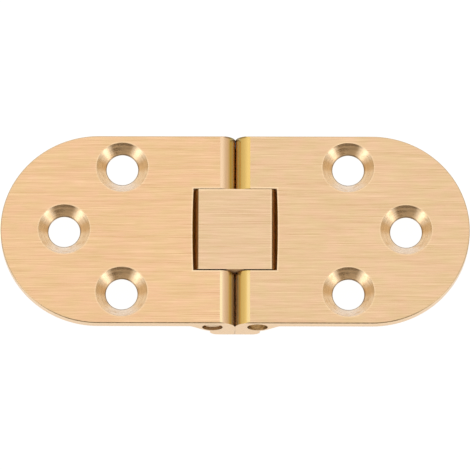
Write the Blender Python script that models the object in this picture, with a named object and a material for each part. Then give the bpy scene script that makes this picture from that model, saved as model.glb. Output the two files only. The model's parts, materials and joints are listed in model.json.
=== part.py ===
"""Double-pin flap hinge in solid brass, open and lying flat.

Two leaves with fully round outer ends meet at a seam. Each leaf is a thin plate that thickens
into a knuckle along its inner edge, as cut from an extruded bar: a boss round the pin, and a foot
that butts against the other leaf's foot and stops the hinge when it is flat. A square link lies
flush in a slot that both leaves share. It turns on one pin in each knuckle, so that either leaf
can swing up a quarter turn from the link, and one leaf can fold over onto the other.

Frame: X runs along the open hinge, Y along the pins and Z up. The origin is the middle of the
seam, on the plane that the feet stand on. Lengths are in metres.
"""

import math

import bmesh
import bpy

MM = 0.001

# The two leaves together
HINGE_LENGTH = 80.0 * MM
HINGE_WIDTH = 33.4 * MM
PLATE_THICKNESS = 1.85 * MM
RIM_CHAMFER = 0.15 * MM
SEAM_GAP = 0.06 * MM

# The pins, measured from the seam and from the top face, and how far each lies in at the front
PIN_SPACING = 7.66 * MM
PIN_DEPTH = 2.45 * MM
PIN_RADIUS = 1.65 * MM
PIN_CLEARANCE = 0.1 * MM
PIN_LENGTH = 32.2 * MM
LEFT_PIN_RECESS = 0.45 * MM
RIGHT_PIN_RECESS = 1.05 * MM
PIN_CHAMFER = 0.25 * MM

# The knuckle's section
KNUCKLE_DEPTH = 6.7 * MM
KNUCKLE_LENGTH = 7.5 * MM
KNUCKLE_WALL = 0.4 * MM
NOSE_RADIUS = 2.55 * MM
FOOT_LENGTH = 4.25 * MM
FOOT_RADIUS = 1.4 * MM
INSTEP_RADIUS = 0.4 * MM
ROOT_RADIUS = 1.0 * MM

# The link and the slot that it lies in
LINK_WIDTH = 14.3 * MM
LINK_REACH = 2.45 * MM
LINK_EDGE_RADIUS = 0.15 * MM
LINK_FOOT_GAP = 0.2 * MM
LINK_SIDE_GAP = 0.15 * MM
LINK_END_GAP = 0.84 * MM
LINK_TURNING_GAP = 0.25 * MM
SLOT_BOW = 0.17 * MM

# The screw holes, with ninety-degree countersinks
HOLE_RADIUS = 2.7 * MM
COUNTERSINK_RADIUS = 4.4 * MM
INNER_HOLE_DISTANCE = 19.3 * MM
INNER_HOLE_SPACING = 22.2 * MM
OUTER_HOLE_DISTANCE = 29.15 * MM

# How far cutters run past the faces that they cut
OVERRUN = 1.0 * MM

# How finely round forms are divided
STEPS_PER_TURN = 64
FINE_STEPS_PER_TURN = 128
BOW_STEPS = 12

# Places worked out from the sizes above
HALF_LENGTH = HINGE_LENGTH / 2
HALF_WIDTH = HINGE_WIDTH / 2
TOP = KNUCKLE_DEPTH
UNDERSIDE = TOP - PLATE_THICKNESS
SEAM_FACE = SEAM_GAP / 2
PIN_X = PIN_SPACING / 2
PIN_Z = TOP - PIN_DEPTH
PIN = (PIN_X, PIN_Z)
BORE_RADIUS = PIN_RADIUS + PIN_CLEARANCE
BOSS_RADIUS = BORE_RADIUS + KNUCKLE_WALL
LINK_RADIUS = math.hypot(LINK_REACH, PIN_DEPTH)

LEAF_BRASS = (0.84, 0.56, 0.31, 1.0)
LINK_BRASS = (0.82, 0.57, 0.34, 1.0)
PIN_BRASS = (0.55, 0.40, 0.24, 1.0)


def clear_scene():
    """Removes whatever the scene holds at the start."""
    for obj in list(bpy.data.objects):
        bpy.data.objects.remove(obj, do_unlink=True)


def metal(name, colour, roughness):
    """A plain metal finish."""
    finish = bpy.data.materials.new(name)
    finish.use_nodes = True
    shader = finish.node_tree.nodes["Principled BSDF"]
    shader.inputs["Base Color"].default_value = colour
    shader.inputs["Metallic"].default_value = 1.0
    shader.inputs["Roughness"].default_value = roughness
    finish.diffuse_color = colour
    return finish


def polar(centre, radius, angle):
    """The point at an angle on a circle."""
    return centre[0] + radius * math.cos(angle), centre[1] + radius * math.sin(angle)


def arc(centre, radius, start, end, steps=None):
    """Points on an arc from one angle to another, both ends included."""
    if steps is None:
        steps = max(2, math.ceil(STEPS_PER_TURN * abs(end - start) / math.tau))
    return [polar(centre, radius, start + (end - start) * step / steps) for step in range(steps + 1)]


def circle(centre, radius):
    """Points round a full circle."""
    return arc(centre, radius, 0, math.tau)[:-1]


def round_corner(before, corner, after, radius):
    """The arc that rounds the corner between its two neighbours."""
    angle_in = math.atan2(corner[1] - before[1], corner[0] - before[0])
    angle_out = math.atan2(after[1] - corner[1], after[0] - corner[0])
    turn = math.remainder(angle_out - angle_in, math.tau)
    inward = angle_in + math.copysign(math.pi / 2, turn)
    setback = polar(corner, -radius * math.tan(abs(turn) / 2), angle_in)
    start = inward - math.pi
    return arc(polar(setback, radius, inward), radius, start, start + turn)


def along_y(outline, y):
    """An outline in X and Z, set at one Y."""
    return [(x, y, z) for x, z in outline]


def at_height(outline, z):
    """An outline in X and Y, set at one height."""
    return [(x, y, z) for x, y in outline]


def on_side(outline, side):
    """An outline drawn for the right leaf, mirrored where side is -1."""
    return [(side * x, other) for x, other in outline]


def loft(name, loops):
    """A closed solid through loops of points that all have the same count."""
    mesh = bpy.data.meshes.new(name)
    shape = bmesh.new()
    rings = [[shape.verts.new(point) for point in loop] for loop in loops]
    for lower, upper in zip(rings, rings[1:]):
        for i in range(len(lower)):
            j = (i + 1) % len(lower)
            shape.faces.new((lower[i], lower[j], upper[j], upper[i]))
    shape.faces.new(rings[0])
    shape.faces.new(rings[-1])
    bmesh.ops.recalc_face_normals(shape, faces=shape.faces)
    shape.to_mesh(mesh)
    shape.free()
    obj = bpy.data.objects.new(name, mesh)
    bpy.context.scene.collection.objects.link(obj)
    return obj


def combine(obj, other, operation="DIFFERENCE"):
    """Cuts or intersects obj with a helper object, which then stays out of sight."""
    other.hide_render = True
    other.display_type = "WIRE"
    modifier = obj.modifiers.new(f"{operation.title()} {other.name}", "BOOLEAN")
    modifier.operation = operation
    modifier.object = other
    modifier.solver = "EXACT"


def finish_piece(obj, colour, roughness):
    """Gives a piece its own metal and smooth round faces."""
    obj.data.materials.append(metal(f"{obj.name}_brass", colour, roughness))
    obj.data.shade_smooth()
    obj.data.set_sharp_from_angle(angle=math.radians(30))


def boss_outline():
    """The underside of the knuckle from the foot out to the plate.

    A small fillet leads from the foot's side onto the boss, the boss runs round the pin, and the
    flank leaves it on a tangent and meets the plate's underside at the root.
    """
    instep_x = FOOT_LENGTH + INSTEP_RADIUS
    instep_drop = math.sqrt((BOSS_RADIUS + INSTEP_RADIUS) ** 2 - (instep_x - PIN_X) ** 2)
    instep = (instep_x, PIN_Z - instep_drop)
    boss_start = math.atan2(-instep_drop, instep_x - PIN_X)

    root = (KNUCKLE_LENGTH, UNDERSIDE)
    root_angle = math.atan2(root[1] - PIN_Z, root[0] - PIN_X)
    boss_end = root_angle - math.acos(BOSS_RADIUS / math.dist(root, PIN))
    flank_foot = polar(PIN, BOSS_RADIUS, boss_end)

    return (
        arc(instep, INSTEP_RADIUS, math.pi, boss_start + math.pi)
        + arc(PIN, BOSS_RADIUS, boss_start, boss_end)
        + round_corner(flank_foot, root, (HALF_LENGTH, UNDERSIDE), ROOT_RADIUS)
    )


def leaf_section():
    """The right leaf seen along the pins: rounded nose, foot, boss and plate."""
    outer_end = HALF_LENGTH + OVERRUN
    return [
        *round_corner((outer_end, TOP), (SEAM_FACE, TOP), (SEAM_FACE, 0), NOSE_RADIUS),
        (SEAM_FACE, 0),
        *round_corner((SEAM_FACE, 0), (FOOT_LENGTH, 0), (FOOT_LENGTH, TOP), FOOT_RADIUS),
        *boss_outline(),
        (outer_end, UNDERSIDE),
        (outer_end, TOP),
    ]


def leaf_plan(inset):
    """The right leaf seen from above: straight sides and a fully round outer end."""
    radius = HALF_WIDTH - inset
    centre = (HALF_LENGTH - HALF_WIDTH, 0)
    outer_end = arc(centre, radius, -math.pi / 2, math.pi / 2, FINE_STEPS_PER_TURN // 2)
    return [(-OVERRUN, -radius), *outer_end, (-OVERRUN, radius)]


def plan_block(name, side):
    """The leaf's plan as a block. It draws in near the top face, which chamfers the leaf's rim."""
    levels = (
        (-OVERRUN, 0),
        (TOP - RIM_CHAMFER, 0),
        (TOP + OVERRUN, RIM_CHAMFER + OVERRUN),
    )
    return loft(name, [at_height(on_side(leaf_plan(inset), side), z) for z, inset in levels])


def slot_cutter(name, side):
    """The slot for the link.

    Its end wall bows outwards in plan. Below a short lip it opens out round the pin, which leaves
    room for the link's round end to turn, and under the pin it runs straight out through the foot.
    """
    half = LINK_WIDTH / 2 + LINK_SIDE_GAP
    seat_radius = LINK_RADIUS + LINK_TURNING_GAP
    wall_reach = LINK_REACH + LINK_END_GAP
    bow_radius = (half**2 + SLOT_BOW**2) / (2 * SLOT_BOW)
    bow_angle = math.asin(half / bow_radius)
    bow_centre = (wall_reach + SLOT_BOW - bow_radius, 0)
    loops = []
    for reach, y in arc(bow_centre, bow_radius, -bow_angle, bow_angle, BOW_STEPS):
        lip_angle = math.acos(min(1, reach / seat_radius))
        seat = arc(PIN, seat_radius, lip_angle, 0, STEPS_PER_TURN // 8)
        outline = [
            (-OVERRUN, TOP + OVERRUN),
            (PIN_X + reach, TOP + OVERRUN),
            *seat,
            (PIN_X + seat_radius, -OVERRUN),
            (-OVERRUN, -OVERRUN),
        ]
        loops.append(along_y(on_side(outline, side), y))
    return loft(name, loops)


def bore_cutter(name, side, length):
    """A bore for the pin, right through."""
    bore = on_side(circle(PIN, BORE_RADIUS), side)
    reach = length / 2 + OVERRUN
    return loft(name, [along_y(bore, y) for y in (-reach, reach)])


def countersunk_cutter(name, x, y):
    """A screw hole and its cone, as one turned shape."""
    sections = (
        (UNDERSIDE - OVERRUN, HOLE_RADIUS),
        (TOP - (COUNTERSINK_RADIUS - HOLE_RADIUS), HOLE_RADIUS),
        (TOP + OVERRUN, COUNTERSINK_RADIUS + OVERRUN),
    )
    return loft(name, [at_height(circle((x, y), radius), z) for z, radius in sections])


def make_leaf(name, side):
    """One leaf: the section run across the full width, trimmed to its plan, slotted and drilled."""
    section = on_side(leaf_section(), side)
    reach = HALF_WIDTH + OVERRUN
    leaf = loft(name, [along_y(section, y) for y in (-reach, reach)])
    combine(leaf, plan_block(f"{name}_plan", side), "INTERSECT")
    combine(leaf, slot_cutter(f"{name}_slot", side))
    combine(leaf, bore_cutter(f"{name}_bore", side, HINGE_WIDTH))
    holes = (
        (INNER_HOLE_DISTANCE, -INNER_HOLE_SPACING / 2),
        (INNER_HOLE_DISTANCE, INNER_HOLE_SPACING / 2),
        (OUTER_HOLE_DISTANCE, 0),
    )
    for number, (x, y) in enumerate(holes, start=1):
        combine(leaf, countersunk_cutter(f"{name}_hole_{number}", side * x, y))
    finish_piece(leaf, LEAF_BRASS, 0.32)
    return leaf


def link_end():
    """The link's right end: a flat foot, a round end about the pin and a softened top edge."""
    foot_angle = math.asin(min(1, (PIN_Z - LINK_FOOT_GAP) / LINK_RADIUS))
    edge_height = PIN_DEPTH - LINK_EDGE_RADIUS
    edge_reach = math.sqrt((LINK_RADIUS - LINK_EDGE_RADIUS) ** 2 - edge_height**2)
    edge_angle = math.atan2(edge_height, edge_reach)
    edge_centre = (PIN_X + edge_reach, PIN_Z + edge_height)
    return (
        arc(PIN, LINK_RADIUS, -foot_angle, edge_angle)
        + arc(edge_centre, LINK_EDGE_RADIUS, edge_angle, math.pi / 2)[1:]
    )


def make_link():
    """The link: flat on top and square in plan, with a round end about each pin."""
    end = link_end()
    section = end + on_side(reversed(end), -1)
    link = loft("link", [along_y(section, y) for y in (-LINK_WIDTH / 2, LINK_WIDTH / 2)])
    for hand, side in (("left", -1), ("right", 1)):
        combine(link, bore_cutter(f"link_{hand}_bore", side, LINK_WIDTH))
    finish_piece(link, LINK_BRASS, 0.3)
    return link


def make_pin(name, side, recess):
    """A plain pin with chamfered ends, driven in until its front end lies a little way inside."""
    sections = (
        (0, PIN_RADIUS - PIN_CHAMFER),
        (PIN_CHAMFER, PIN_RADIUS),
        (PIN_LENGTH - PIN_CHAMFER, PIN_RADIUS),
        (PIN_LENGTH, PIN_RADIUS - PIN_CHAMFER),
    )
    pin = loft(name, [along_y(circle((0, 0), radius), y) for y, radius in sections])
    pin.location = (side * PIN_X, recess - HINGE_WIDTH / 2, PIN_Z)
    finish_piece(pin, PIN_BRASS, 0.35)
    return pin


def build():
    clear_scene()
    for hand, side, recess in (("left", -1, LEFT_PIN_RECESS), ("right", 1, RIGHT_PIN_RECESS)):
        make_leaf(f"{hand}_leaf", side)
        make_pin(f"{hand}_pin", side, recess)
    make_link()


build()
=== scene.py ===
"""The double-pin flap hinge as photographed: solid brass, brushed flat, on a white ground."""

import json
import math

import bmesh
import bpy
from mathutils import Matrix, Vector

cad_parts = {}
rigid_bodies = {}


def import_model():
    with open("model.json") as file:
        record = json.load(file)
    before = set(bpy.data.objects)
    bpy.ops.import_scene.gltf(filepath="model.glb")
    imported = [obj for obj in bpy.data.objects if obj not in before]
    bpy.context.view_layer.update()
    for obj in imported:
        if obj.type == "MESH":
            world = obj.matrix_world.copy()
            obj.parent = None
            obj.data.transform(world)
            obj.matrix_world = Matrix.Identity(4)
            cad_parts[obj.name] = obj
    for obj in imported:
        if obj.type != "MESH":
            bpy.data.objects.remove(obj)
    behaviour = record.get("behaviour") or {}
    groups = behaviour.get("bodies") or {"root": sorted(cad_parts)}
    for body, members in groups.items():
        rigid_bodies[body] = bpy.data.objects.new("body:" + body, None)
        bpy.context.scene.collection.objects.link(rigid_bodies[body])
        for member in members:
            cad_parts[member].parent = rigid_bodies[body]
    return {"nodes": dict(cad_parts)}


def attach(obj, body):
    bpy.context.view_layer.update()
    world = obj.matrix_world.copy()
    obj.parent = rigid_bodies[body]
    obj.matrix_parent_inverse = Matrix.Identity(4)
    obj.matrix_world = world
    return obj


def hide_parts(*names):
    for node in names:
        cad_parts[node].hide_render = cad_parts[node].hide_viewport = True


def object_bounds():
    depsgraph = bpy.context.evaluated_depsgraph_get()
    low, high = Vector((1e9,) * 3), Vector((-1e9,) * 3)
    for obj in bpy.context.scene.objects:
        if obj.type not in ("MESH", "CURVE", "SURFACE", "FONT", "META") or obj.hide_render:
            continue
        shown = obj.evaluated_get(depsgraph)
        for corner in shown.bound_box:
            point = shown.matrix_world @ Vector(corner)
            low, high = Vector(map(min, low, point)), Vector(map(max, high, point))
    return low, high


MM = 0.001
PER_MM = 1000.0

# The camera's view of the hinge, from a fit to the photograph's outline
PHOTO_SIDE = 470
SENSOR_WIDTH = 36.0
CAMERA_DISTANCE = 1.3487
CAMERA_CLIPS = (CAMERA_DISTANCE * 0.1, CAMERA_DISTANCE * 10)
CAMERA_ELEVATION = math.radians(72.6)
CAMERA_AZIMUTH = math.radians(-0.11)
CAMERA_ROLL = math.radians(0.23)
PIXELS_PER_METRE = 5868.0
CENTRE_PIXEL = (235.15, 229.3)

# How the solids' facets are joined up, and how their edges are softened
WELD_DISTANCE = 1e-7
FLAT_ANGLE = math.radians(0.5)
EDGE_WIDTH = 0.05 * MM
EDGE_STEPS = 2
SHARP_ANGLE = math.radians(28)
MATERIAL_BESIDE = -1

# The leaves lie a hair apart in the solids and meet on the real hinge, so their noses are drawn
# together by this much at the seam, fading out at some way from it and down to the feet
SEAM_CLOSING = 0.028 * MM
SEAM_ZONE = 0.6 * MM

# How far back the link sits within its play in the slot
LINK_SETBACK = 0.06 * MM

# Where the features lie that tell the faces apart
PIN_X = 3.83 * MM
PIN_DEPTH = 2.45 * MM
BORE_RADIUS = 1.75 * MM
NOSE_REACH = 2.58 * MM
NOSE_DEPTH = 2.6 * MM
KNUCKLE_REACH = 9 * MM
SLOT_HALF_WIDTH = 7.3 * MM
SLOT_END = 7.29 * MM
SLOT_BOW = 0.17 * MM
SLOT_REACH = 7.6 * MM
LINK_HALF_LENGTH = 6.28 * MM
LINK_HALF_WIDTH = 7.15 * MM
HOLE_RADIUS = 2.7 * MM
COUNTERSINK_RADIUS = 4.4 * MM
INNER_HOLE = (19.3 * MM, 11.1 * MM)
OUTER_HOLE = (29.15 * MM, 0.0)
BETWEEN_HOLES = 24.2 * MM
HOLES = [
    (side * x, y)
    for side in (-1, 1)
    for x, y in ((INNER_HOLE[0], -INNER_HOLE[1]), INNER_HOLE, OUTER_HOLE)
]
CLOSE = 0.05 * MM

# The Z of a normal above which a face lies flat, slopes up, or at least doesn't look down
LIES_FLAT = 0.999
SLOPES_UP = 0.3
LOOKS_DOWN = -0.9

# The Y of a normal below which a face runs along the pins, and above which it lies across them
ALONG_PINS = 0.1
ACROSS_PINS = 0.5

# Colours of the metal
LEFT_BRASS = ((0.90, 0.57, 0.33, 1.0), (0.86, 0.58, 0.305, 1.0))
RIGHT_BRASS = ((0.86, 0.57, 0.345, 1.0), (0.82, 0.58, 0.32, 1.0))
LINK_BRASS = ((0.85, 0.575, 0.355, 1.0), (0.82, 0.58, 0.335, 1.0))
# Painted highlights: the paler brass of the light strips along edges
HIGHLIGHT_BRASS = (0.97, 0.70, 0.43, 1.0)
DARK_SCRATCH = (0.80, 0.74, 0.66, 1.0)
BRIGHT_SCRATCH = (1.17, 1.22, 1.31, 1.0)
DRAWN_BRASS = (0.84, 0.57, 0.29, 1.0)
CONE_BRASS = (0.985, 0.75, 0.49, 1.0)
# Ochre of the random stains in the countersinks, and of the painted shade on their flanks and rear
OCHRE_STAIN_AND_SHADE_BRASS = (0.78, 0.51, 0.25, 1.0)
# Painted reflection: the paler brass of a countersink's front wall
PAINTED_PALE_BRASS = (1.0, 0.84, 0.68, 1.0)
SIDE_BRASS = (0.92, 0.655, 0.395, 1.0)
# Painted dark reflection: the darker brass of the rim's chamfer
RIM_BRASS = (0.62, 0.44, 0.25, 1.0)
WORN_BRASS = (0.93, 0.72, 0.48, 1.0)
# Painted shade: the darker brass inside the screw holes and on the slot's walls
HOLE_BRASS = (0.45, 0.31, 0.20, 1.0)
SLOT_BRASS = (0.62, 0.40, 0.16, 1.0)
CLEAN_SIDE_BRASS = (0.95, 0.72, 0.45, 1.0)
# Painted shade: the near-black of the walls in the gaps that face the front; painted light: their lighter
# brown between the noses
GAP_SHADE = (0.03, 0.016, 0.008, 1.0)
GAP_LIT_BROWN = (0.70, 0.48, 0.27, 1.0)
# Painted shade: the dark brass inside the bores
BORE_BRASS = (0.42, 0.27, 0.14, 1.0)
# Painted reflections: the right leaf's bore, lighter and strongly mottled
OPEN_BORE_BRASS = (0.91, 0.75, 0.49, 1.0)
PIN_BRASS = (0.84, 0.61, 0.39, 1.0)
# Painted light: the paler brass of the left pin's end
LIT_PIN_END_BRASS = (1.0, 0.80, 0.57, 1.0)

# Colours across a nose, each at its distance from the seam: painted shade and reflections of the
# groove, mostly darker and more olive towards the seam
NOSE_SEAM_EDGE = (0.83, 0.59, 0.29, 1.0)
SEAM_BRASS = (0.71, 0.58, 0.38, 1.0)
LEFT_NOSE = (
    (0.12 * MM, NOSE_SEAM_EDGE),
    (0.28 * MM, SEAM_BRASS),
    (0.75 * MM, (0.62, 0.46, 0.15, 1.0)),
    (1.05 * MM, (0.73, 0.47, 0.17, 1.0)),
    (1.30 * MM, (0.88, 0.54, 0.27, 1.0)),
    (2.15 * MM, (0.92, 0.65, 0.41, 1.0)),
)
RIGHT_NOSE = (
    (0.12 * MM, NOSE_SEAM_EDGE),
    (0.28 * MM, SEAM_BRASS),
    (0.60 * MM, (0.73, 0.56, 0.27, 1.0)),
    (0.90 * MM, (0.74, 0.50, 0.15, 1.0)),
    (1.25 * MM, (0.89, 0.57, 0.165, 1.0)),
    (2.15 * MM, (0.90, 0.61, 0.205, 1.0)),
)
# A darker, greyer colour beside the seam in the noses' front half
SEAM_DARKENING = (
    (0.10 * MM, (0.90, 0.75, 0.62, 1.0)),
    (0.20 * MM, (0.36, 0.28, 0.22, 1.0)),
    (0.26 * MM, (0.38, 0.30, 0.23, 1.0)),
    (0.36 * MM, (0.54, 0.45, 0.34, 1.0)),
    (0.60 * MM, (0.51, 0.38, 0.21, 1.0)),
    (0.95 * MM, (0.56, 0.38, 0.17, 1.0)),
)
# Painted highlight: the bright brass along the border of a nose's front half
NOSE_HIGHLIGHT = (0.99, 0.79, 0.455, 1.0)

# Colours down the link's round end, each at its distance from the seam: painted light and shade in the gap
LINK_END = (
    (6.30 * MM, (0.35, 0.24, 0.13, 1.0)),
    (6.45 * MM, (0.60, 0.41, 0.18, 1.0)),
    (6.75 * MM, (0.82, 0.54, 0.25, 1.0)),
    (7.00 * MM, (0.65, 0.42, 0.20, 1.0)),
    (7.20 * MM, (0.35, 0.22, 0.10, 1.0)),
)
# A dark edge tint that darkens the round ends' reflections at grazing angles: painted shade
LINK_END_SHADE_TINT = (0.3, 0.2, 0.1, 1.0)

# The range in which noise mostly lies, and its middle
NOISE_LOW = 0.3
NOISE_HIGH = 0.7
NOISE_MIDDLE = 0.5

# Sizes of the grain's features along X, Y and Z, in millimetres
SCRATCHES = (14.0, 0.06, 4.0)
SCRATCHED_PLACES = (2.6, 0.5, 2.0)
STREAKS = (6.0, 0.12, 2.0)
TONE_DRIFT = (3.0, 2.0, 3.0)
DIE_LINES = (0.12, 12.0, 0.12)
CONE_MOTTLE = (0.9, 0.9, 0.9)
CONE_PATCHES = (1.6, 1.0, 1.3)
LINK_END_MOTTLE = (0.3, 1.2, 0.3)
GAP_SHADE_MOTTLE = (0.4, 0.4, 0.4)
FILED_MOTTLE = (0.7, 0.7, 0.3)

# The finishes' shades, where their noise is low and where it is high
DRAWN_SHADES = (0.92, 1.04)
NOSE_SHADES = (0.94, 1.04)
CONE_SHADES = (0.88, 1.06)
LINK_END_SHADES = (0.85, 1.1)
GAP_SHADE_RANGE = (0.7, 1.2)
WORN_SHADES = (0.92, 1.04)
CUT_BRIGHTEST = 1.04

# Their roughness at the same places, or how far it goes below and above the one that is asked for
BRUSHED_ROUGHNESS = (0.24, 0.38)
NOSE_ROUGHNESS = (0.16, 0.28)
CONE_ROUGHNESS = (0.24, 0.34)
LINK_END_ROUGHNESS = (0.28, 0.4)
DRAWN_SPREAD = (-0.05, 0.08)
FILED_SPREAD = (-0.06, 0.08)

# How deep the relief is, in fine lines and in coarse mottling
FINE_RELIEF = 0.004 * MM
COARSE_RELIEF = 0.01 * MM

# The painted highlights along edges, by the distance in millimetres outside the slot, the countersink and
# the link
SLOT_HIGHLIGHT = (0.14, 0.34)
RIM_HIGHLIGHT = (0.10, 0.28)
RIM_HIGHLIGHT_STRENGTH = 0.55
LINK_HIGHLIGHT = (-0.36, -0.16)

# How scratches come and go, what they and the streaks add up to, and how the two tones take turns
SCRATCH_STRENGTHS = (0.35, 0.65, 0.15, 1.0)
SCRATCH_SHARE = 1.5
STREAK_SHARE = 0.5
SCRATCH_HEIGHTS = (-0.05, 0.55)
TONE_RANGE = (0.34, 0.66)

# The noses' front half, with a painted highlight along the border and a darker colour beside the
# seam, and their rear end, darkened by painted shade, in millimetres of Y and of distance from the seam
NOSE_FRONT = (-6.5, -8.5)
NOSE_REAR = (16.35, 16.5)
NOSE_REAR_SIDE = (2.1, 1.6)
NOSE_REAR_SHADE = 0.5
NOSE_HIGHLIGHT_END = 2.3
DARKER_SEAM_SIDE = (0.95, 0.50)

# The softened edges' place at the noses' rear ends that painted shade darkens, in millimetres as above
EDGE_SHADE_REAR = (16.2, 16.5)
EDGE_SHADE_SIDE = (2.1, 1.5)
EDGE_REAR_SHADE = 0.2

# The lighter place on the link's shaded side between the noses, painted light where light reaches in,
# by the distance from the seam in millimetres
GAP_LIT_PLACE = (1.7, 1.3)

# The lighter band on cut faces, in millimetres from the top
LIGHTER_BAND = (-0.75, -0.45)
LIGHTER_BAND_SHADE = 1.12

# A countersink's rings: how many lie in a millimetre, how much they change on their way round,
# how much of the mottling joins them, and the range of their sum
RINGS_PER_MM = 4.0
RING_CHANGE = 1.3
MOTTLE_SHARE = 0.5
RING_SUMS = (0.55, 0.95)

# The darker ring round a screw hole and the line inside a countersink's rim, by the distance in
# millimetres outside each circle, and their shades
HOLE_EDGE_RING = (0.08, 0.24)
HOLE_EDGE_RING_SHADE = 0.48
RIM_LINE = (-0.20, -0.06)
RIM_SHADE = 0.93

# The range of the noise that stains a countersink in patches
PATCH_RANGE = (0.52, 0.68)
PATCH_STRENGTH = 0.5

# A countersink's flanks and rear, turned ochre by painted shade, and its paler front, a painted
# reflection, by the Y of the direction from the hole's centre
FLANK_FRONT = (-0.25, 0.05)
FLANK_REAR = (0.48, 0.26)
SHADED_FLANK_STRENGTH = 0.9
SHADED_REAR_WALL = (0.86, 0.95)
SHADED_REAR_STRENGTH = 0.7
PAINTED_PALE_FRONT = (-0.6, -1.0)

# The floor: how far it reaches, how far down it lies, how bright it is to the camera and in
# reflections, and how far and how strongly the hinge shades it
FLOOR_REACH = 3.0
FLOOR_DROP = 0.02 * MM
FLOOR_SEEN = 0.96
FLOOR_REFLECTED = 0.89
FLOOR_OWN_GREY = 0.1
SHADOW_REACH = 3 * MM
SHADOW_RANGE = (0.05, 0.25)

# The studio's level by the X of a direction, then the warm dark and the corner lights in front
STUDIO_LEVELS = (
    (-0.95, 0.74),
    (-0.75, 0.77),
    (-0.56, 0.88),
    (-0.33, 1.03),
    (-0.10, 1.01),
    (0.10, 1.01),
    (0.22, 1.07),
    (0.45, 0.90),
    (0.66, 0.75),
    (0.85, 0.73),
    (0.95, 0.73),
)
DARK_LEVELS = (0.02, 0.16)
DARK_TINT = (1.0, 0.72, 0.50, 1.0)
CORNER_LIGHT = 1.2

# Where the corner lights and the dark lie, by a direction's Z, its Y and the size of its X
LOW = (0.62, 0.46)
LIGHT_FRONT = (-0.15, -0.35)
LIGHT_INSIDE = (0.68, 0.76)
LIGHT_OUTSIDE = (0.93, 0.87)
DARK_FRONT = (-0.3, -0.7)
DARK_SIDE = (0.66, 0.48)

# The patches in the dark: how small they are, and the range of the noise that makes them
GLOOM_SCALE = 9.0
GLOOM_RANGE = (0.38, 0.62)


def clear_scene():
    """Removes whatever the scene holds at the start."""
    for obj in list(bpy.data.objects):
        bpy.data.objects.remove(obj, do_unlink=True)


clear_scene()
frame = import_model()
CAD_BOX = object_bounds()
TOP = CAD_BOX[1].z
PIN_Z = TOP - PIN_DEPTH


class Graph:
    """A small helper that adds nodes to a tree and links them."""

    def __init__(self, tree):
        self.tree = tree

    def add(self, kind, inputs=None, **settings):
        node = self.tree.nodes.new(kind)
        for name, value in settings.items():
            setattr(node, name, value)
        for key, value in (inputs or {}).items():
            self.feed(node.inputs[key], value)
        return node

    def feed(self, socket, value):
        """Links a socket to another node's output, or sets it where the value is a plain one."""
        if isinstance(value, bpy.types.NodeSocket):
            self.tree.links.new(value, socket)
        else:
            socket.default_value = value

    def maths(self, operation, first, second=0.0):
        return self.add("ShaderNodeMath", {0: first, 1: second}, operation=operation).outputs[0]

    def product(self, *values):
        result = values[0]
        for value in values[1:]:
            result = self.maths("MULTIPLY", result, value)
        return result

    def remap(self, value, low, high, to_low=0.0, to_high=1.0, kind="LINEAR"):
        """Turns one range into another, and holds to its ends outside it."""
        inputs = {"Value": value, "From Min": low, "From Max": high, "To Min": to_low, "To Max": to_high}
        return self.add("ShaderNodeMapRange", inputs, interpolation_type=kind, clamp=True).outputs[0]

    def zone(self, value, start, end, at_start=0.0, at_end=1.0):
        """A smooth change of level from a start to an end, which may be the lower one."""
        return self.remap(value, start, end, at_start, at_end, kind="SMOOTHSTEP")

    def vary(self, value, to_low, to_high):
        """Turns the range in which noise mostly lies into another."""
        return self.remap(value, NOISE_LOW, NOISE_HIGH, to_low, to_high)

    def spread(self, value, middle, changes):
        """Turns the same range into one that goes below and above a number."""
        return self.vary(value, *[middle + change for change in changes])

    def ramp(self, value, stops):
        """Colours along a value from 0 to 1, each stop a place and a colour."""
        node = self.add("ShaderNodeValToRGB", {0: value})
        elements = node.color_ramp.elements
        while len(elements) < len(stops):
            elements.new(1.0)
        for element, (place, colour) in zip(elements, stops):
            element.position = place
            element.color = colour
        return node.outputs["Color"]

    def mix(self, factor, first, second, blend="MIX"):
        node = self.add("ShaderNodeMix", data_type="RGBA", blend_type=blend)
        self.feed(node.inputs["Factor"], factor)
        self.feed(node.inputs["A"], first)
        self.feed(node.inputs["B"], second)
        return node.outputs["Result"]


def grey(value):
    return (value, value, value, 1.0)


def new_material(name):
    """An empty node material with its output and a metal shader."""
    made = bpy.data.materials.new(name)
    made.use_nodes = True
    made.node_tree.nodes.clear()
    graph = Graph(made.node_tree)
    shader = graph.add("ShaderNodeBsdfPrincipled", {"Metallic": 1.0})
    output = graph.add("ShaderNodeOutputMaterial")
    graph.feed(output.inputs["Surface"], shader.outputs[0])
    return made, graph, shader


def paint(graph, shader, colour, shade, roughness):
    """Gives a shader its roughness, and its colour times a shade."""
    graph.feed(shader.inputs["Base Color"], graph.mix(1.0, colour, shade, "MULTIPLY"))
    graph.feed(shader.inputs["Roughness"], roughness)


def emboss(graph, shader, height, strength, depth):
    """Gives a shader its relief."""
    inputs = {"Height": height, "Strength": strength, "Distance": depth}
    graph.feed(shader.inputs["Normal"], graph.add("ShaderNodeBump", inputs).outputs[0])


def millimetres(graph, scale=(1.0, 1.0, 1.0)):
    """Object coordinates in millimetres, stretched by a scale for each axis."""
    place = graph.add("ShaderNodeTexCoord").outputs["Object"]
    size = tuple(PER_MM * axis for axis in scale)
    return graph.add("ShaderNodeMapping", {"Vector": place, "Scale": size}, vector_type="POINT").outputs[0]


def noise(graph, sizes, detail=3.0, roughness=0.55):
    """Noise from 0 to 1 whose features have the given size in millimetres along each axis."""
    place = millimetres(graph, [1.0 / size for size in sizes])
    inputs = {"Vector": place, "Scale": 1.0, "Detail": detail, "Roughness": roughness}
    return graph.add("ShaderNodeTexNoise", inputs).outputs[0]


def places(graph):
    """X, Y and Z in millimetres, as three values."""
    parts = graph.add("ShaderNodeSeparateXYZ", {0: millimetres(graph)}).outputs
    return parts["X"], parts["Y"], parts["Z"]


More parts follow.
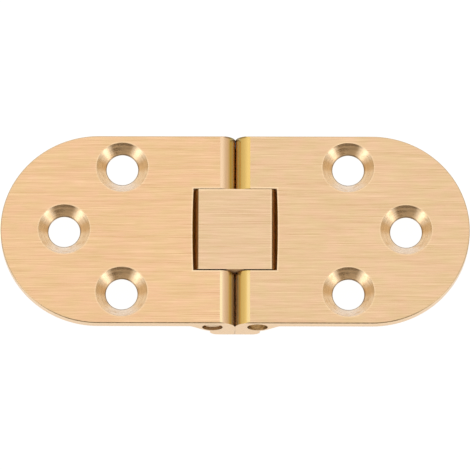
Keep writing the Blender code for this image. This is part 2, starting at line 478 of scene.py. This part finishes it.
def bands(graph, distance, start, end, stops):
    """Colours by a distance in millimetres, from stops whose places are in metres."""
    reach = graph.remap(distance, PER_MM * start, PER_MM * end)
    return graph.ramp(reach, [((place - start) / (end - start), tone) for place, tone in stops])


def beyond_box(graph, x, y, half_length, half_width):
    """How far a place lies outside a rectangle about the origin, negative inside it."""
    over_x = graph.maths("SUBTRACT", graph.maths("ABSOLUTE", x), half_length)
    over_y = graph.maths("SUBTRACT", graph.maths("ABSOLUTE", y), half_width)
    return graph.maths("MAXIMUM", over_x, over_y)


def from_hole(graph, x, y):
    """The vector from the nearest screw hole's centre to a place, in millimetres."""
    outer = graph.maths("GREATER_THAN", graph.maths("ABSOLUTE", x), PER_MM * BETWEEN_HOLES)
    away = {}
    for axis, place, near, far in zip("XY", (x, y), INNER_HOLE, OUTER_HOLE):
        centre = graph.remap(outer, 0.0, 1.0, PER_MM * near, PER_MM * far)
        away[axis] = graph.maths("SUBTRACT", place, graph.product(graph.maths("SIGN", place), centre))
    return graph.add("ShaderNodeCombineXYZ", away).outputs[0]


def length_of(graph, vector):
    return graph.add("ShaderNodeVectorMath", {0: vector}, operation="LENGTH").outputs["Value"]


def unit(graph, vector):
    return graph.add("ShaderNodeVectorMath", {0: vector}, operation="NORMALIZE").outputs[0]


def leaf_painted_highlights(graph):
    """Painted highlights on a leaf's face: light strips beside the slot and round the countersinks."""
    x, y, _ = places(graph)
    bow = graph.product(y, y, -SLOT_BOW / SLOT_HALF_WIDTH**2 / PER_MM)
    slot_end = graph.maths("ADD", bow, PER_MM * SLOT_END)
    slot = beyond_box(graph, x, y, slot_end, PER_MM * SLOT_HALF_WIDTH)
    rim = graph.maths("SUBTRACT", length_of(graph, from_hole(graph, x, y)), PER_MM * COUNTERSINK_RADIUS)
    beside_slot = graph.zone(slot, *SLOT_HIGHLIGHT, 1.0, 0.0)
    beside_rim = graph.zone(rim, *RIM_HIGHLIGHT, RIM_HIGHLIGHT_STRENGTH, 0.0)
    return graph.maths("MAXIMUM", beside_slot, beside_rim)


def link_painted_highlights(graph):
    """Painted highlights on the link's face: light strips along its right and rear edges."""
    x, y, _ = places(graph)
    over_x = graph.maths("SUBTRACT", x, PER_MM * LINK_HALF_LENGTH)
    over_y = graph.maths("SUBTRACT", y, PER_MM * LINK_HALF_WIDTH)
    return graph.zone(graph.maths("MAXIMUM", over_x, over_y), *LINK_HIGHLIGHT)


def brushed_brass(name, tones, painted_highlights):
    """Flat faces, linished along the hinge: straight fine scratches that come and go, and a slow
    drift between two tones."""
    made, graph, shader = new_material(name)
    scratches = noise(graph, SCRATCHES, detail=2.0, roughness=0.6)
    strength = graph.remap(noise(graph, SCRATCHED_PLACES, detail=2.0), *SCRATCH_STRENGTHS)
    streaks = noise(graph, STREAKS, detail=1.0)
    drift = noise(graph, TONE_DRIFT, detail=2.0)
    tone = graph.mix(graph.remap(drift, *TONE_RANGE), *tones)
    # Painted highlights: light strips along edges, in a paler brass
    tone = graph.mix(painted_highlights(graph), tone, HIGHLIGHT_BRASS)
    lines = graph.product(graph.maths("SUBTRACT", scratches, NOISE_MIDDLE), strength)
    height = graph.maths("ADD", graph.product(lines, SCRATCH_SHARE), graph.product(streaks, STREAK_SHARE))
    shade = graph.mix(graph.remap(height, *SCRATCH_HEIGHTS), DARK_SCRATCH, BRIGHT_SCRATCH)
    paint(graph, shader, tone, shade, graph.vary(scratches, *BRUSHED_ROUGHNESS))
    emboss(graph, shader, height, strength=0.4, depth=FINE_RELIEF)
    return made


def drawn_brass(name, colour, roughness):
    """Extruded faces along the pins, with faint die lines that run along Y."""
    made, graph, shader = new_material(name)
    lines = noise(graph, DIE_LINES, detail=4.0)
    shade = graph.vary(lines, *DRAWN_SHADES)
    paint(graph, shader, colour, shade, graph.spread(lines, roughness, DRAWN_SPREAD))
    emboss(graph, shader, lines, strength=0.3, depth=FINE_RELIEF)
    return made


def nose_brass(name, stops, highlight_start, highlight_strength, seam_darkening):
    """A leaf's round nose: drawn along the seam, with colour bands of painted shade and reflections
    that run darker and olive towards the seam, painted shade at its rear end, and in its front half
    a painted highlight along the border and a darker, greyer colour beside the seam."""
    made, graph, shader = new_material(name)
    x, y, _ = places(graph)
    side = graph.maths("ABSOLUTE", x)
    front = graph.zone(y, *NOSE_FRONT)
    # Painted highlight along the nose's border, in its front half
    highlight = graph.product(graph.zone(side, highlight_start, NOSE_HIGHLIGHT_END), front, highlight_strength)
    # A darker, greyer colour beside the seam in the front half
    darker_seam = graph.product(graph.zone(side, *DARKER_SEAM_SIDE), front, seam_darkening)
    # Painted shade and reflections in the colour bands across the nose
    colour = graph.mix(highlight, bands(graph, side, 0.0, NOSE_REACH, stops), NOSE_HIGHLIGHT)
    colour = graph.mix(darker_seam, colour, bands(graph, side, 0.0, NOSE_REACH, SEAM_DARKENING))
    lines = noise(graph, DIE_LINES, detail=4.0)
    # Painted shade at the nose's rear end
    rear = graph.product(graph.zone(y, *NOSE_REAR), graph.zone(side, *NOSE_REAR_SIDE))
    rear_shade = graph.remap(rear, 0.0, 1.0, 1.0, NOSE_REAR_SHADE)
    shade = graph.product(graph.vary(lines, *NOSE_SHADES), rear_shade)
    paint(graph, shader, colour, shade, graph.vary(lines, *NOSE_ROUGHNESS))
    emboss(graph, shader, lines, strength=0.3, depth=FINE_RELIEF)
    return made


def turned_brass(name, colour, stain_and_shade_colour, painted_pale_colour):
    """Countersinks, with fine rings from the cutter, which spread a reflection across them, and ochre
    stains in random patches. Painted shade turns their left, right and rear walls the same ochre,
    and a painted reflection makes the front wall paler."""
    made, graph, shader = new_material(name)
    x, y, _ = places(graph)
    away = from_hole(graph, x, y)
    reach = length_of(graph, away)
    around = unit(graph, away)
    turns = graph.add("ShaderNodeSeparateXYZ", {0: around}).outputs
    inputs = {
        "X": graph.product(turns["X"], RING_CHANGE),
        "Y": graph.product(turns["Y"], RING_CHANGE),
        "Z": graph.product(reach, RINGS_PER_MM),
    }
    ring_place = graph.add("ShaderNodeCombineXYZ", inputs).outputs[0]
    inputs = {"Vector": ring_place, "Scale": 1.0, "Detail": 3.0, "Roughness": 0.6}
    rings = graph.add("ShaderNodeTexNoise", inputs).outputs[0]
    mottle = noise(graph, CONE_MOTTLE)
    height = graph.maths("ADD", rings, graph.product(mottle, MOTTLE_SHARE))
    shade = graph.remap(height, *RING_SUMS, *CONE_SHADES)
    hole_edge = PER_MM * HOLE_RADIUS
    rim = PER_MM * COUNTERSINK_RADIUS
    edge_ring = graph.zone(reach, hole_edge + HOLE_EDGE_RING[0], hole_edge + HOLE_EDGE_RING[1], HOLE_EDGE_RING_SHADE, 1.0)
    line = graph.zone(reach, rim + RIM_LINE[0], rim + RIM_LINE[1], 1.0, RIM_SHADE)
    patches = graph.zone(noise(graph, CONE_PATCHES), *PATCH_RANGE, 0.0, PATCH_STRENGTH)
    # Painted shade: the walls at the sides and at the rear take the ochre by where they lie
    shaded_flank = graph.product(
        graph.zone(turns["Y"], *FLANK_FRONT), graph.zone(turns["Y"], *FLANK_REAR), SHADED_FLANK_STRENGTH
    )
    rear = graph.product(graph.zone(turns["Y"], *SHADED_REAR_WALL), SHADED_REAR_STRENGTH)
    stain_and_shade = graph.maths("MAXIMUM", patches, graph.maths("MAXIMUM", shaded_flank, rear))
    # Painted reflection: the front wall is made paler
    tone = graph.mix(graph.zone(turns["Y"], *PAINTED_PALE_FRONT), colour, painted_pale_colour)
    tone = graph.mix(stain_and_shade, tone, stain_and_shade_colour)
    shade = graph.product(shade, edge_ring, line)
    paint(graph, shader, tone, shade, graph.vary(rings, *CONE_ROUGHNESS))
    emboss(graph, shader, mottle, strength=0.25, depth=COARSE_RELIEF)
    across = graph.add(
        "ShaderNodeVectorTransform",
        {0: around},
        vector_type="VECTOR",
        convert_from="OBJECT",
        convert_to="WORLD",
    ).outputs[0]
    graph.feed(shader.inputs["Tangent"], unit(graph, across))
    shader.inputs["Anisotropic"].default_value = 0.75
    return made


def link_end_brass(name, stops):
    """The link's round ends, coloured with painted light and shade in the gap: dark at the top edge,
    lighter a little below it, and ever darker from there down to the widest place."""
    made, graph, shader = new_material(name)
    x, _, _ = places(graph)
    colour = bands(graph, graph.maths("ABSOLUTE", x), stops[0][0], stops[-1][0], stops)
    mottle = noise(graph, LINK_END_MOTTLE)
    shade = graph.vary(mottle, *LINK_END_SHADES)
    paint(graph, shader, colour, shade, graph.vary(mottle, *LINK_END_ROUGHNESS))
    shader.inputs["Specular Tint"].default_value = LINK_END_SHADE_TINT
    return made


def painted_gap_shade(name, colour, lit_colour):
    """Painted shade: a near-black on the walls in the gaps that face the front, but for a lighter
    place between the noses, painted light where light reaches in.
    """
    made, graph, shader = new_material(name)
    x, _, _ = places(graph)
    lit_place = graph.zone(graph.maths("ABSOLUTE", x), *GAP_LIT_PLACE)
    shade = graph.vary(noise(graph, GAP_SHADE_MOTTLE), *GAP_SHADE_RANGE)
    paint(graph, shader, graph.mix(lit_place, colour, lit_colour), shade, roughness=0.9)
    shader.inputs["Metallic"].default_value = 0.0
    shader.inputs["Specular IOR Level"].default_value = 0.1
    return made


def worn_and_shaded_brass(name, colour, roughness):
    """The softened edges, bright but for the noses' rear ends, which painted shade darkens."""
    made, graph, shader = new_material(name)
    x, y, _ = places(graph)
    mottle = noise(graph, FILED_MOTTLE)
    # Painted shade on the softened edges at the noses' rear ends
    rear = graph.zone(y, *EDGE_SHADE_REAR)
    near_seam = graph.zone(graph.maths("ABSOLUTE", x), *EDGE_SHADE_SIDE)
    rear_shade = graph.remap(graph.product(rear, near_seam), 0.0, 1.0, 1.0, EDGE_REAR_SHADE)
    shade = graph.product(graph.vary(mottle, *WORN_SHADES), rear_shade)
    paint(graph, shader, colour, shade, graph.spread(mottle, roughness, FILED_SPREAD))
    return made


def cut_brass(name, colour, roughness, contrast=0.12, edge=1.0):
    """Sawn and filed faces: small mottling and a lighter band under the top. At a grazing angle
    they reflect as much as edge says."""
    made, graph, shader = new_material(name)
    _, _, z = places(graph)
    mottle = noise(graph, FILED_MOTTLE, detail=5.0)
    top = PER_MM * TOP
    lighter_band = graph.zone(z, top + LIGHTER_BAND[0], top + LIGHTER_BAND[1], 1.0, LIGHTER_BAND_SHADE)
    shade = graph.product(graph.vary(mottle, CUT_BRIGHTEST - contrast, CUT_BRIGHTEST), lighter_band)
    paint(graph, shader, colour, shade, graph.spread(mottle, roughness, FILED_SPREAD))
    emboss(graph, shader, mottle, strength=0.3, depth=COARSE_RELIEF)
    shader.inputs["Specular Tint"].default_value = grey(edge)
    return made


def close_seam(shape):
    """Draws a leaf's nose towards the seam, ever less away from the seam and down to the feet."""
    for corner in shape.verts:
        near = max(0.0, 1.0 - abs(corner.co.x) / SEAM_ZONE)
        high = min(1.0, corner.co.z / (TOP - NOSE_DEPTH))
        corner.co.x -= math.copysign(SEAM_CLOSING * near * high, corner.co.x)


def clean_copy(node):
    """A copy of a CAD node's mesh with shared corners and with flat faces in one piece."""
    mesh = bpy.data.meshes.new(f"{node}_shape")
    shape = bmesh.new()
    shape.from_mesh(frame["nodes"][node].data)
    bmesh.ops.remove_doubles(shape, verts=shape.verts, dist=WELD_DISTANCE)
    bmesh.ops.dissolve_limit(
        shape, angle_limit=FLAT_ANGLE, verts=shape.verts, edges=shape.edges, delimit={"NORMAL"}
    )
    if node.endswith("_leaf"):
        close_seam(shape)
    if node == "link":
        bmesh.ops.translate(shape, verts=shape.verts, vec=(0.0, LINK_SETBACK, 0.0))
    for layer in list(shape.loops.layers.uv):
        shape.loops.layers.uv.remove(layer)
    shape.to_mesh(mesh)
    shape.free()
    return mesh


def add_piece(node, body, materials, choose):
    """The finished piece that stands for a CAD node.

    Each face takes a material by its place. The softened edges take the worn one where there is
    one, and otherwise the material beside them.
    """
    mesh = clean_copy(node)
    piece = bpy.data.objects.new(f"{node}_finished", mesh)
    bpy.context.scene.collection.objects.link(piece)
    slots = {name: index for index, name in enumerate(materials)}
    for made in materials.values():
        mesh.materials.append(made)
    for face in mesh.polygons:
        face.material_index = slots[choose(face)]
    mesh.shade_smooth()
    bevel = piece.modifiers.new("Softened edges", "BEVEL")
    bevel.width = EDGE_WIDTH
    bevel.segments = EDGE_STEPS
    bevel.limit_method = "ANGLE"
    bevel.angle_limit = SHARP_ANGLE
    bevel.material = slots.get("worn", MATERIAL_BESIDE)
    piece.modifiers.new("Flat faces lead", "WEIGHTED_NORMAL")
    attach(piece, body)
    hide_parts(node)


def in_bore(x, z):
    """Whether a place lies on or in a pin's bore."""
    return math.hypot(abs(x) - PIN_X, z - PIN_Z) < BORE_RADIUS + CLOSE


def in_countersink(x, y):
    """Whether a place lies within a countersink's rim."""
    return any(math.hypot(x - hole_x, y - hole_y) < COUNTERSINK_RADIUS for hole_x, hole_y in HOLES)


def side_face(y):
    """Which finish a wall between a leaf and the link has: clean at the rear, and dark with painted shade
    in front.
    """
    return "clean_side" if y > 0 else "shaded_side"


def leaf_face(face):
    """Which finish a leaf's face has, told from its place and the way it faces."""
    x, y, z = face.center
    up = face.normal.z
    along_pins = abs(face.normal.y) < ALONG_PINS
    if up > LIES_FLAT:
        return "brushed"
    if abs(y) < SLOT_HALF_WIDTH + CLOSE and abs(x) < SLOT_REACH and up > LOOKS_DOWN:
        return "slot" if abs(face.normal.y) < ACROSS_PINS else side_face(y)
    if in_bore(x, z) and along_pins:
        return "bore"
    if in_countersink(x, y) and up > LOOKS_DOWN:
        return "turned" if up > SLOPES_UP else "hole"
    if abs(x) < NOSE_REACH and z > TOP - NOSE_DEPTH and along_pins:
        return "nose"
    if abs(x) < KNUCKLE_REACH and along_pins or up < LOOKS_DOWN:
        return "drawn"
    return "rim" if up > SLOPES_UP else "cut"


def link_face(face):
    """Which finish a link's face has."""
    x, y, z = face.center
    if face.normal.z > LIES_FLAT:
        return "brushed"
    if in_bore(x, z):
        return "bore"
    return "end" if abs(face.normal.y) < ALONG_PINS else side_face(y)


def pin_face(face):
    """Which finish a pin's face has."""
    return "cut" if abs(face.normal.y) > ACROSS_PINS else "drawn"


def make_pieces():
    """Every finish and every piece. Some finishes are the same on both hands, and some differ."""
    worn = worn_and_shaded_brass("worn_and_shaded_edge", WORN_BRASS, roughness=0.3)
    # Painted shade in the bores
    bore = cut_brass("bore_brass", BORE_BRASS, roughness=0.4)
    clean_side = cut_brass("clean_side", CLEAN_SIDE_BRASS, roughness=0.4)
    # Painted shade on the walls in the gaps that face the front
    shaded_side = painted_gap_shade("shaded_side", GAP_SHADE, GAP_LIT_BROWN)
    leaf = {
        "drawn": drawn_brass("leaf_drawn", DRAWN_BRASS, roughness=0.24),
        "turned": turned_brass("leaf_turned", CONE_BRASS, OCHRE_STAIN_AND_SHADE_BRASS, PAINTED_PALE_BRASS),
        "cut": cut_brass("leaf_cut", SIDE_BRASS, roughness=0.3),
        # Painted dark reflection on the rim's chamfer
        "rim": cut_brass("leaf_rim", RIM_BRASS, roughness=0.4),
        # Painted shade in the screw holes and the slot
        "hole": cut_brass("leaf_hole", HOLE_BRASS, roughness=0.35),
        "slot": cut_brass("leaf_slot", SLOT_BRASS, roughness=0.35),
        "clean_side": clean_side,
        "shaded_side": shaded_side,
        "worn": worn,
    }
    link = {
        "brushed": brushed_brass("link_brushed", LINK_BRASS, link_painted_highlights),
        "end": link_end_brass("link_end", LINK_END),
        "clean_side": clean_side,
        "shaded_side": shaded_side,
        "bore": bore,
        "worn": worn,
    }
    pin_rod = drawn_brass("pin_drawn", PIN_BRASS, roughness=0.25)
    leaf_by_hand = {
        "left": {
            "brushed": brushed_brass("left_brushed", LEFT_BRASS, leaf_painted_highlights),
            "nose": nose_brass("left_nose", LEFT_NOSE, highlight_start=2.0, highlight_strength=1.0, seam_darkening=0.9),
            "bore": bore,
        },
        "right": {
            "brushed": brushed_brass("right_brushed", RIGHT_BRASS, leaf_painted_highlights),
            "nose": nose_brass("right_nose", RIGHT_NOSE, highlight_start=1.8, highlight_strength=0.5, seam_darkening=0.4),
            # The right leaf's bore, lighter and strongly mottled: painted reflections
            "bore": cut_brass("open_bore_brass", OPEN_BORE_BRASS, roughness=0.3, contrast=0.6),
        },
    }
    pin_ends = {
        # The left pin's end, paler: painted light
        "left": cut_brass("left_pin_end", LIT_PIN_END_BRASS, roughness=0.6, edge=0.6),
        "right": cut_brass("right_pin_end", PIN_BRASS, roughness=0.2),
    }
    for hand in ("left", "right"):
        leaf_finishes = {**leaf_by_hand[hand], **leaf}
        pin_finishes = {"drawn": pin_rod, "cut": pin_ends[hand]}
        add_piece(f"{hand}_leaf", f"{hand}_side", leaf_finishes, leaf_face)
        add_piece(f"{hand}_pin", f"{hand}_side", pin_finishes, pin_face)
    add_piece("link", "link", link, link_face)


def add_floor():
    """A wide white floor that the hinge stands on, with a little of its own shadow."""
    mesh = bpy.data.meshes.new("floor")
    shape = bmesh.new()
    bmesh.ops.create_grid(shape, x_segments=1, y_segments=1, size=FLOOR_REACH)
    shape.to_mesh(mesh)
    shape.free()
    floor = bpy.data.objects.new("floor", mesh)
    floor.location.z = -FLOOR_DROP
    bpy.context.scene.collection.objects.link(floor)
    made = bpy.data.materials.new("floor_white")
    made.use_nodes = True
    made.node_tree.nodes.clear()
    graph = Graph(made.node_tree)
    rays = graph.add("ShaderNodeLightPath").outputs
    reflected = graph.maths("MAXIMUM", rays["Is Glossy Ray"], rays["Is Transmission Ray"])
    to_camera = graph.product(rays["Is Camera Ray"], FLOOR_SEEN)
    seen = graph.maths("ADD", to_camera, graph.product(reflected, FLOOR_REFLECTED))
    open_sky = graph.add("ShaderNodeAmbientOcclusion", {"Distance": SHADOW_REACH}, samples=8).outputs["AO"]
    level = graph.product(seen, graph.remap(open_sky, *SHADOW_RANGE))
    own = graph.add("ShaderNodeEmission", {"Color": grey(1.0), "Strength": level})
    lit = graph.add("ShaderNodeBsdfDiffuse", {"Color": grey(FLOOR_OWN_GREY)})
    both = graph.add("ShaderNodeAddShader", {0: own.outputs[0], 1: lit.outputs[0]})
    output = graph.add("ShaderNodeOutputMaterial")
    graph.feed(output.inputs["Surface"], both.outputs[0])
    mesh.materials.append(made)


def light_world():
    """A white studio, told by direction: an even ceiling that falls off to the sides, two strong
    lights low at the front corners, and a warm dark between them, far below the camera."""
    world = bpy.data.worlds.new("studio")
    bpy.context.scene.world = world
    world.use_nodes = True
    world.node_tree.nodes.clear()
    graph = Graph(world.node_tree)
    direction = graph.add("ShaderNodeTexCoord").outputs["Generated"]
    parts = graph.add("ShaderNodeSeparateXYZ", {0: direction}).outputs
    x, y, z = parts["X"], parts["Y"], parts["Z"]
    side = graph.maths("ABSOLUTE", x)
    stops = [((place + 1.0) / 2.0, grey(level)) for place, level in STUDIO_LEVELS]
    ceiling = graph.ramp(graph.remap(x, -1.0, 1.0), stops)
    low = graph.zone(z, *LOW)
    beside = graph.product(graph.zone(side, *LIGHT_INSIDE), graph.zone(side, *LIGHT_OUTSIDE))
    lights = graph.product(graph.zone(y, *LIGHT_FRONT), beside, low, CORNER_LIGHT)
    dark = graph.product(graph.zone(y, *DARK_FRONT), graph.zone(side, *DARK_SIDE), low)
    inputs = {"Vector": direction, "Scale": GLOOM_SCALE, "Detail": 2.0}
    patches = graph.add("ShaderNodeTexNoise", inputs).outputs[0]
    gloom = graph.remap(patches, *GLOOM_RANGE, *DARK_LEVELS)
    level = graph.maths("ADD", graph.product(ceiling, graph.remap(dark, 0.0, 1.0, 1.0, gloom)), lights)
    tint = graph.mix(dark, grey(1.0), DARK_TINT)
    studio = graph.add("ShaderNodeBackground", {"Color": tint, "Strength": level})
    white = graph.add("ShaderNodeBackground", {"Color": grey(1.0), "Strength": 1.0})
    rays = graph.add("ShaderNodeLightPath").outputs
    inputs = {0: rays["Is Camera Ray"], 1: studio.outputs[0], 2: white.outputs[0]}
    mixed = graph.add("ShaderNodeMixShader", inputs)
    output = graph.add("ShaderNodeOutputWorld")
    graph.feed(output.inputs["Surface"], mixed.outputs[0])


def add_camera():
    """The photograph's camera, far off and a little in front of the hinge."""
    camera = bpy.data.cameras.new("camera")
    camera.sensor_width = SENSOR_WIDTH
    camera.lens = PIXELS_PER_METRE * CAMERA_DISTANCE * SENSOR_WIDTH / PHOTO_SIDE
    camera.clip_start, camera.clip_end = CAMERA_CLIPS
    obj = bpy.data.objects.new("camera", camera)
    bpy.context.scene.collection.objects.link(obj)
    bpy.context.scene.camera = obj

    flat = math.cos(CAMERA_ELEVATION)
    back = Vector((
        math.sin(CAMERA_AZIMUTH) * flat,
        -math.cos(CAMERA_AZIMUTH) * flat,
        math.sin(CAMERA_ELEVATION),
    ))
    turn = (-back).to_track_quat("-Z", "Y").to_matrix() @ Matrix.Rotation(CAMERA_ROLL, 3, "Z")
    middle = PHOTO_SIDE / 2
    across = (CENTRE_PIXEL[0] - middle) / PIXELS_PER_METRE
    above = (middle - CENTRE_PIXEL[1]) / PIXELS_PER_METRE
    aim = Vector((0.0, 0.0, TOP)) - turn @ Vector((across, above, 0.0))
    obj.matrix_world = Matrix.Translation(aim + back * CAMERA_DISTANCE) @ turn.to_4x4()


make_pieces()
add_floor()
light_world()
add_camera()
bpy.context.scene.view_settings.view_transform = "Standard"
